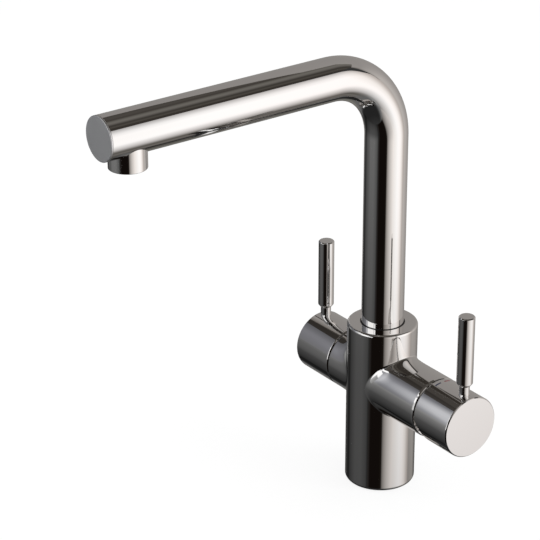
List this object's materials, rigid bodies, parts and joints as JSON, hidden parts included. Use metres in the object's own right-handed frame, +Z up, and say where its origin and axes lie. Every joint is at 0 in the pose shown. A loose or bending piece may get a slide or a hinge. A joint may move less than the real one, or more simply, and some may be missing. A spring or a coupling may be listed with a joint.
{
  "type": "boiling water tap",
  "caption": "Deck-mounted kitchen tap: round body, square-shouldered swivel spout, tilting mixer lever on one arm and self-closing boiling water lever on the other.",
  "frame": {"origin": "centre of the body's base, on the worktop's top face", "axes": "+Z up the body and riser, the spout points along -Y towards the user, the mixer lever is on +X and the boiling water lever on -X"},
  "size_m": [0.1681, 0.2542, 0.392],
  "materials": {
    "chrome": "polished chrome plate on brass",
    "end_cap": "polished chrome plate, flat disc",
    "brass": "turned brass",
    "stainless": "turned stainless steel",
    "zinc_steel": "zinc plated steel",
    "spring_steel": "drawn spring steel",
    "black_rubber": "moulded rubber",
    "black_plastic": "moulded acetal",
    "white_plastic": "moulded acetal",
    "grey_plastic": "moulded acetal",
    "ceramic": "lapped alumina",
    "cold_enamel": "enamel fill",
    "hot_enamel": "enamel fill"
  },
  "bodies": {
    "base": {"body_casting": "chrome", "base_gasket": "black_rubber", "fixing_stud": "zinc_steel", "spout_glide_ring": "black_plastic", "spout_stop_screw": "stainless", "mixer_cartridge_base": "white_plastic", "mixer_port_seals": "black_rubber", "mixer_cartridge_housing": "white_plastic", "mixer_fixed_disc": "ceramic", "mixer_retaining_nut": "brass", "mixer_dome": "chrome", "boiling_seat_seal": "black_rubber", "boiling_valve_body": "brass", "boiling_valve_seal": "black_rubber", "boiling_fixed_disc": "ceramic", "boiling_spring_plate": "zinc_steel", "boiling_return_spring": "spring_steel", "boiling_tube_seal": "black_rubber"},
    "mixer_turner": {"mixer_carrier": "grey_plastic", "mixer_pivot_pin": "stainless"},
    "mixer_disc": {"mixer_moving_disc": "ceramic", "mixer_disc_slider": "white_plastic"},
    "mixer_handle": {"mixer_stem": "brass", "mixer_hub": "chrome", "mixer_lever": "chrome", "mixer_hub_screw": "stainless", "cold_mark": "cold_enamel", "hot_mark": "hot_enamel"},
    "boiling_handle": {"boiling_moving_disc": "ceramic", "boiling_spindle": "brass", "boiling_stop_pin": "stainless", "boiling_hub": "chrome", "boiling_lever": "chrome", "boiling_hub_screw": "stainless"},
    "spout": {"spout_foot": "brass", "spout_seals": "black_rubber", "spout_tube": "chrome", "spout_end_cap": "end_cap", "nozzle_housing": "chrome", "aerator_cage": "grey_plastic", "aerator_screen": "stainless", "aerator_seal": "black_rubber", "boiling_tube": "stainless", "boiling_jet": "grey_plastic"},
    "clamp": {"clamp_rubber": "black_rubber", "clamp_plate": "zinc_steel", "clamp_nut": "brass"}
  },
  "joints": [
    {"name": "spout_swivel", "type": "hinge", "parent": "base", "child": "spout", "pos_m": [0, 0, 0.11], "axis": [0, 0, 1], "range_deg": [-75, 75]},
    {"name": "mixer_temperature", "type": "hinge", "parent": "base", "child": "mixer_turner", "pos_m": [0.058, 0, 0.0815], "axis": [1, 0, 0], "range_deg": [-45, 45]},
    {"name": "mixer_flow", "type": "hinge", "parent": "mixer_turner", "child": "mixer_handle", "pos_m": [0.058, 0, 0.0815], "axis": [0, 1, 0], "range_deg": [0, 20]},
    {"name": "mixer_disc_slide", "type": "slide", "parent": "mixer_turner", "child": "mixer_disc", "axis": [0, 0, 1], "range_m": [0, 0.0032]},
    {"name": "boiling_open", "type": "hinge", "parent": "base", "child": "boiling_handle", "pos_m": [-0.04, 0, 0.0815], "axis": [1, 0, 0], "range_deg": [0, 90], "stiffness_Nm_per_rad": 0.12, "springref_deg": -34.38, "deforming": ["boiling_return_spring"]},
    {"name": "clamp_height", "type": "slide", "parent": "base", "child": "clamp", "axis": [0, 0, 1], "range_m": [-0.015, 0.015]}
  ],
  "couplings": [
    {"joint": "mixer_disc_slide", "follows": "mixer_flow", "m_per_rad": 0.009}
  ]
}
